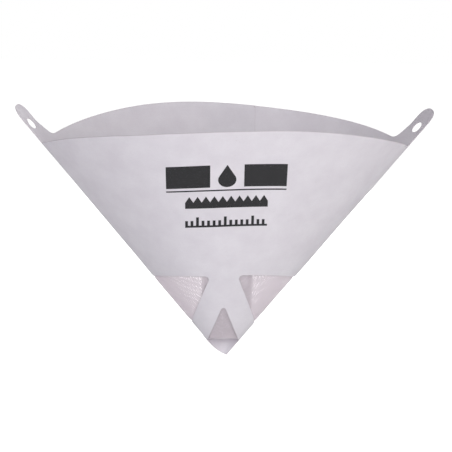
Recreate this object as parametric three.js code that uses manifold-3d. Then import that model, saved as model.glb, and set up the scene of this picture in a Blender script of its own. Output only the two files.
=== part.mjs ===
// Paper cone paint strainer, standing open with its tip down, as it hangs by the holes in its two ears.
// One die-cut paper blank is folded at two creases, lapped and glued down the middle of the back.
// A cone of nylon gauze lines the tip, behind the windows of the blank.
// Millimetres and degrees, +X to the right, +Y to the back, +Z up.

import * as THREE from 'three';
import { mergeVertices } from 'three/addons/utils/BufferGeometryUtils.js';
import Module from 'manifold-3d';

// The open cone
const creaseLength = 150;       // apex to rim, and the radius of the rim in the flat blank
const panelAngle = 101.1;       // flat angle at the apex of the front, and of the back
const openHalfAngle = 39.9;     // from the upright axis to each crease
const frontLean = -0.036;       // the front bulges more on the left
const backLean = 0.059;         // the back bulges more on the right
const frontFacets = 30;
const backFacets = 28;

// Paper and seam
const paperThickness = 0.3;
const glueThickness = 0.08;
const glueBite = 0.03;          // depth of the glue in each layer that it joins
const glueInset = 2;            // the glue stops short of the lap's edges
const centreLine = -1.7;        // the windows sit a little to the left of the middle of the front
const lapLeft = 12.4;           // free edge of the outer layer, from the seam line
const lapRight = 15.6;          // free edge of the inner layer, from the seam line
const innerLayerEnd = 12.7;     // where the inner layer is cut square, from the apex
const tipRadius = 2.7;          // the tip, on the right crease
const tipCutRadius = 11.7;      // where the slanting cut leaves the left crease
const tipTrim = 1.5;            // angle by which each layer of the lap stays clear of the far crease

// Windows, and the two legs between them
const windowTop = 58.5;         // radius of the windows' upper edges
const legAngle = 17;            // lean of each leg from the centre line
const legWidth = 12.2;
const notchPeak = 39.2;         // where the legs' inner edges would meet
const notchRound = 1.2;
const windowRound = 2;

// Ears
const earRise = 23.4;           // above the rim, along the crease
const earWidth = 15;
const earRound = 6.6;
const earFillet = 4.5;
const holeRise = 11;            // above the rim, along the crease
const holeInset = 6.9;
const holeDiameter = 6.6;
const holeSides = 24;

// Gauze
const gauzeTop = 64;
const gauzeThickness = 0.3;
const gauzeSeat = 0.3;          // clearance between the gauze and the paper
const gauzeRing = 4;            // radius at which the wall gives way to the closed tip
const gauzeTipOutside = 1.6;    // heights of the closed tip above the apex
const gauzeTipInside = 2.3;
const gapPitch = 5.2;
const gapSize = 4.1;
const gapMargin = 0.5;          // gauze left between a gap and the paper's edge

// Print on the front: marks, rule, band and scale, one below the other
const inkThickness = 0.15;
const inkSeat = 0.05;
const printDrop = 19.8;         // from the rim down to the marks
const markHeight = 13.7;
const barWidth = 22;
const barReach = 30.4;          // from the middle of the print to the far end of a bar
const dropRadius = 4.5;
const ruleGap = 1.5;            // a gap is the space above its line
const ruleHeight = 0.8;
const bandGap = 3.2;
const bandHeight = 7.4;
const bandTeeth = 10;
const scaleGap = 5.6;
const scaleHeight = 6.6;
const scaleStem = 1.2;
const tickCount = 15;
const tickGroup = 5;            // the middle tick of each group is a long one
const shortTick = 0.65;         // share of a long tick's height
const lineWidth = 41.6;         // width of the band and of the scale
const printShift = 0.9;         // from the centre line to the middle of the print

// Lower edges of the printed lines, as radii about the apex
const markBase = creaseLength - printDrop - markHeight;
const ruleBase = markBase - ruleGap - ruleHeight;
const bandBase = ruleBase - bandGap - bandHeight;
const scaleBase = bandBase - scaleGap - scaleHeight;

// Fineness
const arcSteps = 720;           // steps in which the length of an arc is measured
const halvings = 40;            // of the range in which an arc's depth is sought
const roundStep = 18;           // degrees of a rounded corner to each of its edges
const dropSteps = 16;
const cutterDepth = 3;          // of the solids that cut holes and gaps through a sheet

const materials = {
  paper: new THREE.MeshStandardMaterial({ color: 0xdcd8e0, roughness: 0.85, metalness: 0 }),
  gauze: new THREE.MeshStandardMaterial({ color: 0xd6d3cc, roughness: 0.6, metalness: 0 }),
  ink: new THREE.MeshStandardMaterial({ color: 0x26262a, roughness: 0.7, metalness: 0 }),
};

const rad = THREE.MathUtils.degToRad;
const deg = THREE.MathUtils.radToDeg;
const halfPanel = panelAngle / 2;
const turn = 2 * panelAngle;

// Section of the open cone

// Direction of a ruling on the front or the back, for t from -1 at the left crease to 1 at the right.
// Cut one unit above the apex, each panel is an arc of a circle that leans a little to one side.
function ruling(side, depth, lean, t) {
  const reach = Math.tan(rad(openHalfAngle));
  const radius = (reach * reach + depth * depth) / (2 * depth);
  const rise = Math.sqrt(radius * radius - (reach * t) ** 2) - (radius - depth);
  return new THREE.Vector3(reach * t, side * rise * (1 + lean * Math.sin(Math.PI * t)), 1).normalize();
}

// Angles run along a panel from its left crease, at many values of t.
function anglesAlong(side, depth, lean) {
  const table = [{ t: -1, angle: 0 }];
  let last = ruling(side, depth, lean, -1);
  for (let i = 1; i <= arcSteps; i++) {
    const t = Math.sin(Math.PI * (i / arcSteps - 0.5));
    const next = ruling(side, depth, lean, t);
    table.push({ t, angle: table[i - 1].angle + deg(last.angleTo(next)) });
    last = next;
  }
  return table;
}

// The depth, up to half a circle, at which a panel of the given lean measures the flat panel angle.
function depthFor(side, lean) {
  let low = 0.02;
  let high = Math.tan(rad(openHalfAngle));
  for (let i = 0; i < halvings; i++) {
    const middle = (low + high) / 2;
    if (anglesAlong(side, middle, lean).at(-1).angle < panelAngle) low = middle;
    else high = middle;
  }
  return (low + high) / 2;
}

// Rulings at the given angles from the panel's left crease.
function rulingsAt(side, lean, angles) {
  const depth = depthFor(side, lean);
  const table = anglesAlong(side, depth, lean);
  return angles.map((angle) => {
    const wanted = Math.min(Math.max(angle, 0), table.at(-1).angle);
    const i = Math.max(1, table.findIndex((row) => row.angle >= wanted));
    const share = (wanted - table[i - 1].angle) / (table[i].angle - table[i - 1].angle);
    return ruling(side, depth, lean, THREE.MathUtils.lerp(table[i - 1].t, table[i].t, share));
  });
}

// The folds of one whole turn, by angle round the cone: 0 in the middle of the front, creases at plus and
// minus half a panel. Beside each crease the back keeps one flat facet, as wide as an ear.
function makeFolds() {
  const flat = deg(Math.asin((earWidth + 1) / creaseLength));
  const even = (count, from, to) =>
    Array.from({ length: count + 1 }, (_, i) => from + ((to - from) * i) / count);
  const frontAngles = even(frontFacets, 0, panelAngle);
  const backAngles = [0, ...even(backFacets - 2, flat, panelAngle - flat), panelAngle];
  const front = rulingsAt(-1, frontLean, frontAngles);
  const back = rulingsAt(1, backLean, backAngles);
  const folds = frontAngles.map((angle, i) => ({ angle: angle - halfPanel, u: front[i] }));
  for (let i = backAngles.length - 2; i > 0; i--) {
    folds.push({ angle: halfPanel + panelAngle - backAngles[i], u: back[i] });
  }
  folds.forEach((fold, i) => {
    const next = folds[(i + 1) % folds.length];
    fold.normal = new THREE.Vector3().crossVectors(next.u, fold.u).normalize();
  });
  folds.forEach((fold, i) => {
    const before = folds.at(i - 1).normal;
    fold.mitre = fold.normal.clone().add(before).divideScalar(1 + fold.normal.dot(before));
  });
  return folds;
}

const folds = makeFolds();

// Fold angles between two angles, round as many turns as they reach.
function foldAngles(from, to) {
  const found = [];
  for (let k = Math.floor((from + halfPanel) / turn); k <= Math.ceil((to + halfPanel) / turn); k++) {
    for (const fold of folds) {
      const angle = fold.angle + k * turn;
      if (angle > from && angle < to) found.push(angle);
    }
  }
  return found;
}

// Ruling and offset direction at any angle.
function frameAt(angle) {
  const around = THREE.MathUtils.euclideanModulo(angle + halfPanel, turn) - halfPanel;
  const i = folds.findLastIndex((fold) => fold.angle <= around + 1e-9);
  const fold = folds[i];
  const next = folds[(i + 1) % folds.length];
  const end = i + 1 < folds.length ? next.angle : turn - halfPanel;
  if (end - around < 1e-7) return { u: next.u, offset: next.mitre, normal: next.normal };
  if (around - fold.angle < 1e-7) return { u: fold.u, offset: fold.mitre, normal: fold.normal };
  const share = (around - fold.angle) / (end - fold.angle);
  return { u: fold.u.clone().lerp(next.u, share).normalize(), offset: fold.normal, normal: fold.normal };
}

// The point of the blank at an angle and radius, standing off the folded surface by the given height.
function place(angle, radius, height) {
  const { u, offset } = frameAt(angle);
  return u.clone().multiplyScalar(radius).addScaledVector(offset, height);
}

// Drawing in the flat blank, in angle and radius about the apex

// A straight line is given by the angle and the distance of its nearest point to the apex.
function meet(a, b) {
  const s = Math.sin(rad(b.foot - a.foot));
  const x = a.distance;
  const y = (b.distance - a.distance * Math.cos(rad(b.foot - a.foot))) / s;
  return { angle: a.foot + deg(Math.atan2(y, x)), radius: Math.hypot(x, y) };
}

// Where a line crosses a circle about the apex, on its left (-1) or right (1).
function meetArc(line, radius, side) {
  return { angle: line.foot + side * deg(Math.acos(line.distance / radius)), radius };
}

function meetRay(line, angle) {
  return { angle, radius: line.distance / Math.cos(rad(angle - line.foot)) };
}

// A point on the back near a crease, by its distance along the crease and in from it.
function besideCrease(side, along, inset) {
  return { angle: side * (halfPanel + deg(Math.atan2(inset, along))), radius: Math.hypot(along, inset) };
}

// A point given across and up from the centre line.
function flatPoint(across, up) {
  return { angle: centreLine + deg(Math.atan2(across, up)), radius: Math.hypot(across, up) };
}

function isArc(a, b) {
  return Math.abs(a.radius - b.radius) < 1e-6;
}

// Flat position of b as seen from a, in a's own radial and tangential directions.
function towards(a, b) {
  if (isArc(a, b)) return new THREE.Vector2(0, Math.sign(b.angle - a.angle));
  const swing = rad(b.angle - a.angle);
  return new THREE.Vector2(b.radius * Math.cos(swing) - a.radius, b.radius * Math.sin(swing)).normalize();
}

// The points that round off a corner.
function roundCorner(before, corner, after) {
  if (!corner.round) return [corner];
  const a = towards(corner, before);
  const b = towards(corner, after);
  const opening = Math.acos(THREE.MathUtils.clamp(a.dot(b), -1, 1));
  const centre = a.clone().add(b).setLength(corner.round / Math.sin(opening / 2));
  const reach = corner.round / Math.tan(opening / 2);
  const from = a.multiplyScalar(reach).sub(centre);
  const to = b.multiplyScalar(reach).sub(centre);
  const steps = Math.max(3, Math.round((180 - deg(opening)) / roundStep));
  const sweep = Math.atan2(from.cross(to), from.dot(to));
  return Array.from({ length: steps + 1 }, (_, i) => {
    const point = from.clone().rotateAround(new THREE.Vector2(), (sweep * i) / steps).add(centre);
    const x = corner.radius + point.x;
    return { angle: corner.angle + deg(Math.atan2(point.y, x)), radius: Math.hypot(x, point.y) };
  });
}

// Points of a straight edge where it crosses the folds.
function crossings(a, b) {
  const angles = foldAngles(Math.min(a.angle, b.angle) + 1e-6, Math.max(a.angle, b.angle) - 1e-6);
  if (a.angle > b.angle) angles.reverse();
  return angles.map((angle) => {
    const toA = rad(angle - a.angle);
    const toB = rad(b.angle - angle);
    const area = a.radius * b.radius * Math.sin(rad(b.angle - a.angle));
    return { angle, radius: area / (a.radius * Math.sin(toA) + b.radius * Math.sin(toB)) };
  });
}

// Closed outline through rounded corners. An edge between corners of one radius follows the arc about the
// apex, and any other edge is straight in the flat.
function outline(corners) {
  const rounded = corners.map((corner, i) =>
    roundCorner(corners.at(i - 1), corner, corners[(i + 1) % corners.length]));
  const points = [];
  rounded.forEach((run, i) => {
    const next = rounded[(i + 1) % rounded.length][0];
    points.push(...run);
    if (!isArc(corners[i], corners[(i + 1) % corners.length])) points.push(...crossings(run.at(-1), next));
  });
  return points;
}

// Folded sheets

const unique = (values) =>
  [...values].sort((a, b) => a - b).filter((v, i, all) => i === 0 || v - all[i - 1] > 1e-7);

// Cuts the outlines into strips between neighbouring rays, and each strip into spans of material.
function cutIntoStrips(outlines) {
  const points = outlines.flat();
  const low = Math.min(...points.map((p) => p.angle));
  const high = Math.max(...points.map((p) => p.angle));
  const rays = unique([...points.map((p) => p.angle), ...foldAngles(low, high)]);
  const edges = outlines.flatMap((loop) => loop.map((p, i) => [p, loop[(i + 1) % loop.length]]));
  const strips = rays.slice(1).map((to, i) => {
    const from = rays[i];
    const crossed = edges.filter(([p, q]) => {
      const [a, b] = p.angle < q.angle ? [p, q] : [q, p];
      return a.angle < (from + to) / 2 && b.angle > (from + to) / 2;
    });
    const radiusAt = ([p, q], angle) =>
      p.radius + ((q.radius - p.radius) * (angle - p.angle)) / (q.angle - p.angle);
    const lines = crossed.map((edge) => ({ left: radiusAt(edge, from), right: radiusAt(edge, to) }));
    lines.sort((a, b) => a.left + a.right - b.left - b.right);
    const spans = [];
    for (let k = 0; k + 1 < lines.length; k += 2) spans.push({ low: lines[k], high: lines[k + 1] });
    return { from, to, spans };
  });
  return { rays, strips };
}

// The closed body of a sheet, cut to the outlines and folded round the cone. Its two faces stand off the
// folded surface by the heights given for each angle. A closed sheet runs once round and joins itself, and
// may end below in a point, given by the heights of its two faces on the axis.
function foldedSheet(outlines, inside, outside, closed = false, tip = null) {
  const { rays, strips } = cutIntoStrips(outlines);
  const inner = (angle, radius) => place(angle, radius, inside(angle));
  const outer = (angle, radius) => place(angle, radius, outside(angle));
  const triangles = [];
  const quad = (a, b, c, d) => triangles.push(a, b, c, a, c, d);
  const cutsOn = (i) => {
    const left = closed && i === 0 ? strips.at(-1) : strips[i - 1];
    const right = closed && i === strips.length ? strips[0] : strips[i];
    const ends = [];
    left?.spans.forEach((span) => ends.push(span.low.right, span.high.right));
    right?.spans.forEach((span) => ends.push(span.low.left, span.high.left));
    return unique(ends);
  };
  const cuts = rays.map((_, i) => cutsOn(i));

  strips.forEach(({ from, to, spans }, i) => {
    for (const { low, high } of spans) {
      const within = (list, a, b) => list.filter((r) => r > a - 1e-6 && r < b + 1e-6);
      const left = within(cuts[i], low.left, high.left);
      const right = within(cuts[i + 1], low.right, high.right);
      let l = 0;
      let r = 0;
      const face = (p, q, s) => {
        triangles.push(...[p, q, s].map(([angle, radius]) => outer(angle, radius)));
        triangles.push(...[p, s, q].map(([angle, radius]) => inner(angle, radius)));
      };
      while (l < left.length - 1 || r < right.length - 1) {
        const leftShare = l < left.length - 1 ? (l + 1) / (left.length - 1) : Infinity;
        const rightShare = r < right.length - 1 ? (r + 1) / (right.length - 1) : Infinity;
        if (rightShare <= leftShare) {
          face([from, left[l]], [to, right[r]], [to, right[r + 1]]);
          r++;
        } else {
          face([from, left[l]], [to, right[r]], [from, left[l + 1]]);
          l++;
        }
      }
      if (tip) {
        triangles.push(tip.outside, outer(to, low.right), outer(from, low.left));
        triangles.push(tip.inside, inner(from, low.left), inner(to, low.right));
      } else {
        quad(inner(from, low.left), inner(to, low.right), outer(to, low.right), outer(from, low.left));
      }
      quad(outer(from, high.left), outer(to, high.right), inner(to, high.right), inner(from, high.left));
    }
  });

  // Walls along a ray, where only one side of it is material
  const covers = (strip, side, radius) =>
    strip?.spans.some(({ low, high }) => radius > low[side] && radius < high[side]) ?? false;
  rays.forEach((angle, i) => {
    if (closed && (i === 0 || i === strips.length)) return;
    cuts[i].slice(1).forEach((top, k) => {
      const bottom = cuts[i][k];
      const onLeft = covers(strips[i - 1], 'right', (bottom + top) / 2);
      const onRight = covers(strips[i], 'left', (bottom + top) / 2);
      const corners = [outer(angle, bottom), outer(angle, top), inner(angle, top), inner(angle, bottom)];
      if (onRight && !onLeft) quad(...corners);
      if (onLeft && !onRight) quad(...corners.reverse());
    });
  });

  const geometry = new THREE.BufferGeometry().setFromPoints(triangles);
  return mergeVertices(geometry, 1e-5);
}

// Solids

const wasm = await Module();
wasm.setup();

function solid(geometry) {
  const bare = geometry.clone();
  bare.deleteAttribute('normal');
  bare.deleteAttribute('uv');
  const merged = mergeVertices(bare, 1e-5);
  return new wasm.Manifold(new wasm.Mesh({
    numProp: 3,
    vertProperties: new Float32Array(merged.attributes.position.array),
    triVerts: new Uint32Array(merged.index.array),
  }));
}

function geometryOf(manifold) {
  const mesh = manifold.getMesh();
  const geometry = new THREE.BufferGeometry();
  geometry.setAttribute('position', new THREE.BufferAttribute(new Float32Array(mesh.vertProperties), 3));
  geometry.setIndex(new THREE.BufferAttribute(new Uint32Array(mesh.triVerts), 1));
  geometry.computeVertexNormals();
  return geometry;
}

// A cutter that stands across the sheet at a place of the blank, with its own Y along the ruling turned by
// spin, and its Z along the sheet's outward normal.
function cutterAt(geometry, { angle, radius }, height, spin = 0) {
  const { u, normal } = frameAt(angle);
  const across = new THREE.Vector3().crossVectors(u, normal).normalize();
  const turned = new THREE.Matrix4().makeBasis(across, u, normal);
  turned.multiply(new THREE.Matrix4().makeRotationZ(spin)).setPosition(place(angle, radius, height));
  return solid(geometry.clone().applyMatrix4(turned));
}

// The paper

// The blank is one layer thick, so it stands one layer further out where it comes round to the lap.
const lapStep = paperThickness + glueThickness;
const layer = (angle) => lapStep * THREE.MathUtils.clamp((angle + halfPanel) / panelAngle, 0, 1);
const paperInside = (angle) => layer(angle) - paperThickness / 2;
const paperOutside = (angle) => layer(angle) + paperThickness / 2;

const notchEdge = (side) => ({
  foot: centreLine + side * (90 - legAngle),
  distance: notchPeak * Math.sin(rad(legAngle)),
});
const legEdge = (side) => ({ foot: notchEdge(side).foot, distance: notchEdge(side).distance + legWidth });
const bandWidth = (side) => (side < 0 ? lapLeft : lapRight);
const bandEdge = (side, inset = 0) => ({
  foot: centreLine + side * (panelAngle - 90),
  distance: bandWidth(side) - inset,
});
const freeEdge = (side, inset = 0) => ({
  foot: centreLine + side * (panelAngle + 90),
  distance: bandWidth(-side) - inset,
});
const squareEnd = (raise = 0) => ({ foot: centreLine - panelAngle, distance: innerLayerEnd + raise });

function earCorners(side) {
  const footAlong = Math.sqrt(creaseLength ** 2 - earWidth ** 2);
  const earTop = creaseLength + earRise;
  const corners = [
    { ...besideCrease(side, footAlong, earWidth), round: earFillet },
    { ...besideCrease(side, earTop, earWidth), round: earRound },
    { ...besideCrease(side, earTop, 0), round: earRound },
    { angle: side * halfPanel, radius: creaseLength },
  ];
  return side < 0 ? corners : corners.reverse();
}

function blankOutline() {
  const trimmed = turn - halfPanel - tipTrim;
  return outline([
    meetRay(squareEnd(), -trimmed),
    meetRay(freeEdge(-1), -trimmed),
    meetArc(freeEdge(-1), creaseLength, 1),
    ...earCorners(-1),
    ...earCorners(1),
    meetArc(freeEdge(1), creaseLength, -1),
    meetRay(freeEdge(1), trimmed),
    { angle: trimmed, radius: tipCutRadius },
    { angle: halfPanel, radius: tipRadius },
    meetRay(notchEdge(1), halfPanel),
    { angle: centreLine, radius: notchPeak, round: notchRound },
    meet(notchEdge(-1), squareEnd()),
  ]);
}

function windowOutline(side) {
  return outline([
    { ...meetArc(legEdge(side), windowTop, -side), round: windowRound },
    { ...meet(legEdge(side), bandEdge(side)), round: windowRound },
    { ...meetArc(bandEdge(side), windowTop, side), round: windowRound },
  ]);
}

function glueOutline() {
  return outline([
    meet(squareEnd(glueInset), freeEdge(-1, glueInset)),
    meetArc(freeEdge(-1, glueInset), creaseLength - glueInset, 1),
    meetArc(bandEdge(-1, glueInset), creaseLength - glueInset, -1),
    meet(squareEnd(glueInset), bandEdge(-1, glueInset)),
  ]);
}

const holePlace = (side) => besideCrease(side, creaseLength + holeRise, holeInset);

function makePaper() {
  const blank = foldedSheet([blankOutline(), windowOutline(-1), windowOutline(1)], paperInside, paperOutside);
  const glueFrom = paperThickness / 2 - glueBite;
  const glueTo = paperThickness / 2 + glueThickness + glueBite;
  const glue = foldedSheet([glueOutline()], () => glueFrom, () => glueTo);
  const holeRadius = holeDiameter / 2;
  const punch = new THREE.CylinderGeometry(holeRadius, holeRadius, cutterDepth, holeSides);
  punch.rotateX(Math.PI / 2);
  let paper = solid(blank).add(solid(glue));
  for (const side of [-1, 1]) {
    const hole = holePlace(side);
    paper = paper.subtract(cutterAt(punch, hole, layer(hole.angle)));
  }
  return geometryOf(paper);
}

// The gauze

const gauzeOutside = -paperThickness / 2 - gauzeSeat;
const gauzeInside = gauzeOutside - gauzeThickness;

// Distance of a flat point from a line, positive on the side away from the apex.
const beyond = (line, point) => point.radius * Math.cos(rad(point.angle - line.foot)) - line.distance;

// Whether a flat point shows through a window or through the notch, by at least the given margin.
function isOpen(point, margin) {
  const side = point.angle < centreLine ? -1 : 1;
  const inWindow = beyond(legEdge(side), point) > margin
    && beyond(bandEdge(side), point) > margin
    && point.radius < windowTop - margin;
  const inNotch = Math.abs(point.angle) < halfPanel
    && beyond(notchEdge(side), point) < -margin
    && point.radius > innerLayerEnd + margin;
  return inWindow || inNotch;
}

// Places of the gaps between the threads: a square grid in the flat, in line with the centre line. A gap is
// left out where its corners reach the paper or a crease.
function gapPlaces() {
  const places = [];
  const reach = Math.ceil(windowTop / gapPitch);
  for (let i = -reach; i < reach; i++) {
    for (let j = -reach; j <= reach; j++) {
      const across = (i + 0.5) * gapPitch;
      const up = j * gapPitch;
      const corners = [-1, 1].flatMap((a) => [-1, 1].map((b) =>
        flatPoint(across + (a * gapSize) / 2, up + (b * gapSize) / 2)));
      const angles = corners.map((corner) => corner.angle);
      const spread = Math.max(...angles) - Math.min(...angles);
      const crosses = [-halfPanel, halfPanel].some((crease) =>
        Math.min(...angles) < crease + 1 && Math.max(...angles) > crease - 1);
      if (spread < 90 && !crosses && corners.every((corner) => isOpen(corner, gapMargin))) {
        places.push(flatPoint(across, up));
      }
    }
  }
  return places;
}

function makeGauze() {
  const start = -halfPanel;
  const wall = [
    { angle: start, radius: gauzeRing },
    { angle: start + turn, radius: gauzeRing },
    { angle: start + turn, radius: gauzeTop },
    { angle: start, radius: gauzeTop },
  ];
  const tip = {
    outside: new THREE.Vector3(0, 0, gauzeTipOutside),
    inside: new THREE.Vector3(0, 0, gauzeTipInside),
  };
  const sheet = foldedSheet([wall], () => gauzeInside, () => gauzeOutside, true, tip);
  const gap = new THREE.BoxGeometry(gapSize, gapSize, cutterDepth);
  const middle = (gauzeInside + gauzeOutside) / 2;
  let gauze = solid(sheet);
  for (const spot of gapPlaces()) {
    gauze = gauze.subtract(cutterAt(gap, spot, middle, rad(spot.angle - centreLine)));
  }
  return geometryOf(gauze);
}

// The print

const inkInside = (angle) => paperOutside(angle) + inkSeat;
const inkOutside = (angle) => inkInside(angle) + inkThickness;

// Print runs along arcs about the apex, and its upright edges are parallel to the centre line.
const printPoint = ([across, radius]) => ({
  angle: centreLine + deg(Math.asin((across + printShift) / radius)),
  radius,
});
const shape = (points) => outline(points.map(printPoint));
const rectangle = (left, right, base, height) =>
  shape([[left, base], [right, base], [right, base + height], [left, base + height]]);

// A drop: a point above a round belly.
function dropOutline() {
  const centre = markBase + dropRadius;
  const peak = markHeight - dropRadius;
  const touch = Math.acos(dropRadius / peak);
  const points = [[0, centre + peak]];
  for (let i = 0; i <= dropSteps; i++) {
    const a = touch + ((2 * Math.PI - 2 * touch) * i) / dropSteps;
    points.push([-dropRadius * Math.sin(a), centre + dropRadius * Math.cos(a)]);
  }
  return shape(points);
}

// A band with saw teeth along its upper edge.
function bandOutline() {
  const tooth = lineWidth / bandTeeth;
  const points = [[lineWidth / 2, bandBase], [-lineWidth / 2, bandBase]];
  for (let i = 0; i < bandTeeth; i++) {
    const x = -lineWidth / 2 + i * tooth;
    points.push([x, bandBase + bandHeight / 2], [x + tooth / 2, bandBase + bandHeight]);
  }
  points.push([lineWidth / 2, bandBase + bandHeight / 2]);
  return shape(points);
}

// A measuring scale: long and short ticks on a stem.
function scaleOutline() {
  const pitch = lineWidth / tickCount;
  const stemTop = scaleBase + scaleStem;
  const points = [[lineWidth / 2, scaleBase], [-lineWidth / 2, scaleBase]];
  for (let i = 0; i < tickCount; i++) {
    const x = -lineWidth / 2 + i * pitch;
    const isLong = i % tickGroup === Math.floor(tickGroup / 2);
    const top = scaleBase + scaleHeight * (isLong ? 1 : shortTick);
    points.push([x, top], [x + pitch / 2, top], [x + pitch / 2, stemTop], [x + pitch, stemTop]);
  }
  return shape(points);
}

const prints = {
  printed_bar_left: rectangle(-barReach, barWidth - barReach, markBase, markHeight),
  printed_bar_right: rectangle(barReach - barWidth, barReach, markBase, markHeight),
  printed_drop: dropOutline(),
  printed_rule: rectangle(-barReach, barReach, ruleBase, ruleHeight),
  printed_band: bandOutline(),
  printed_scale: scaleOutline(),
};

// The strainer, with its origin midway between the two holes it hangs by

const strainer = new THREE.Group();
const [leftHole, rightHole] = [-1, 1].map((side) => {
  const hole = holePlace(side);
  return place(hole.angle, hole.radius, layer(hole.angle));
});
strainer.position.copy(leftHole).add(rightHole).multiplyScalar(-0.5);

function addPiece(name, geometry, material) {
  const mesh = new THREE.Mesh(geometry, material);
  mesh.name = name;
  strainer.add(mesh);
}

addPiece('paper_cone', makePaper(), materials.paper);
addPiece('filter_gauze', makeGauze(), materials.gauze);
for (const [name, loop] of Object.entries(prints)) {
  addPiece(name, foldedSheet([loop], inkInside, inkOutside), materials.ink);
}

export default strainer;
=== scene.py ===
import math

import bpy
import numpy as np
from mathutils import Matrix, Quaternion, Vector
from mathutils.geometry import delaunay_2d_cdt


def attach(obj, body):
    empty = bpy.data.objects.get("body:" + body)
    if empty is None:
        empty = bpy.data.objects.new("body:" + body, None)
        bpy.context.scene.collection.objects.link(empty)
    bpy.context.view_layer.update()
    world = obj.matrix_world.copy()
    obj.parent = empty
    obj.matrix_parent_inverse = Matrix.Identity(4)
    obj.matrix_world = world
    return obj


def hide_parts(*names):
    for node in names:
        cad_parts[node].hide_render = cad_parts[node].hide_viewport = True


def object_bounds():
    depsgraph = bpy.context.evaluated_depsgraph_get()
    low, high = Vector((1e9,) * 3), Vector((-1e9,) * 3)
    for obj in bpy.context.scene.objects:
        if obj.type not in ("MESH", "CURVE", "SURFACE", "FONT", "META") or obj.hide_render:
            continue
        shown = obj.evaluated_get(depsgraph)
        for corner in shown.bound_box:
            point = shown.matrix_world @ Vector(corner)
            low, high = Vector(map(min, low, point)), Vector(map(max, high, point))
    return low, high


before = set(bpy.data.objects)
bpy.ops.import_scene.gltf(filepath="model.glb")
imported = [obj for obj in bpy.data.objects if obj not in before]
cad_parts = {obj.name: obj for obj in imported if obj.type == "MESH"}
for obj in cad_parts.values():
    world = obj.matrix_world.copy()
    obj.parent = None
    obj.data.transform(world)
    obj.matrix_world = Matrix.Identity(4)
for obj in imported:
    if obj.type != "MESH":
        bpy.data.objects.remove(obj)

# Looks of the paper cone strainer: a folded card blank with its print, and a woven nylon cone in its tip.
# The flat blank is drawn in millimetres about the apex, with Y up the middle of the front, and is then
# folded round the cone. Angles are in degrees: 0 is the middle of the front, and plus and minus HALF_PANEL
# are the creases. The folded pieces are in metres, in the row frame.

cad_low, cad_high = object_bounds()

MM = 0.001

# The open cone
CREASE_LENGTH = 150.0
PANEL_ANGLE = 101.1
OPEN_HALF_ANGLE = 39.9
FRONT_LEAN = -0.036             # how far the arc of a panel leans to one side, as a share of its depth
BACK_LEAN = 0.059
PANEL_STEPS = 120               # facets of each panel
HALF_PANEL = PANEL_ANGLE / 2
TURN = 2 * PANEL_ANGLE

# Paper and seam
PAPER_THICKNESS = 0.3
LAP_STEP = 0.38                 # the outer layer of the lap stands this far off the inner one
CENTRE_LINE = -1.7              # angle of the blank's middle line, which notch, print and seam follow
LAP_LEFT = 12.4
LAP_RIGHT = 15.6
INNER_LAYER_END = 12.7
TIP_RADIUS = 2.7
TIP_CUT_RADIUS = 11.7
TIP_TRIM = 1.5

# Windows, legs and ears
WINDOW_TOP = 58.5
LEG_ANGLE = 17.0
LEG_WIDTH = 12.2
NOTCH_PEAK = 39.2
NOTCH_ROUND = 1.2
WINDOW_ROUND = 2.0
EAR_RISE = 23.4
EAR_WIDTH = 15.0
EAR_ROUND = 6.6
EAR_FILLET = 4.5
HOLE_RISE = 11.0
HOLE_INSET = 6.9
HOLE_RADIUS = 3.3
EAR_SWING = {-1: 6.0, 1: -5.0}   # degrees that each ear has turned about its crease

# Gauze
GAUZE_TOP = 64.0
GAUZE_END = 1.2                 # where the threads stop, from the apex
GAUZE_TIP = 13.8                # radius below which the cone is gathered into a blunt closed end
GAUZE_TIP_HEIGHT = 11.0         # of the middle of that end, above the apex
GAUZE_HEIGHT = -0.45            # middle of the weave under the paper, off the middle of the paper
GAUZE_FLUSH = 0.4               # how far it comes out again in the windows
GAUZE_RISE = 2.5                # width over which it comes out
THREAD_PITCH = 0.6              # coarser than a real filter gauze, so that the threads show
THREAD_RADIUS = 0.155
THREAD_SIDES = 4
WEAVE_HEIGHT = 0.12             # how far a thread rises and falls where it crosses others

# Print
INK_THICKNESS = 0.03
INK_RISE = 0.02                 # between the paper and the ink, so that neither shows through the other
PRINT_DROP = 19.8
MARK_HEIGHT = 13.7
BAR_WIDTH = 22.0
BAR_REACH = 30.4
DROP_RADIUS = 4.5
RULE_GAP = 1.5
RULE_HEIGHT = 0.8
BAND_GAP = 3.2
BAND_HEIGHT = 7.4
BAND_TEETH = 10
SCALE_GAP = 5.6
SCALE_HEIGHT = 6.6
SCALE_STEM = 1.2
TICK_COUNT = 15
TICK_GROUP = 5
SHORT_TICK = 0.65
LINE_WIDTH = 41.6
PRINT_SHIFT = 0.9

# Fineness of the sheets
EDGE_STEP = 1.6                 # longest piece of a cut edge
GRID_STEP = 2.6                 # between the points within the card
PRINT_STEP = 1.3                # between the points within a printed shape
EDGE_GAP = 0.4                  # share of a step by which those points stay clear of edges and creases
CREASE_STRIP = 0.4              # half the width over which a crease is rounded
CREASE_END = 0.25               # the lines along a crease stop this short of an edge
ROUND_STEPS = 8
HOLE_STEPS = 48
BELLY_STEPS = 40                # of the round part of the drop
CUT_BEND = 1.0                  # radians, above which an edge is a cut edge and stays sharp
SECTION_STEPS = 1440            # of a panel's section while its depth is sought
HALVINGS = 40                   # of the range in which that depth is sought
LEAST_DEPTH = 0.02              # one unit above the apex
FACET_SPARE = 1.0               # the flat facet beside a crease is this much wider than the ear
FACET_SHARE = 0.98              # share of that width at which the facet ends

# Closeness that counts as touching, in millimetres but for the last
SAME_PLACE = 1e-6
SAME_POINT = 1e-5
SAME_CORNER = 0.0002            # of the two sides of a sheet, where its cut edge joins them
ON_CREASE = 1e-4                # degrees

# Slow waves of the card
WAVE_HEIGHT = 0.7
WAVE_SIZE = 42.0


# The section of the cone

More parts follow.
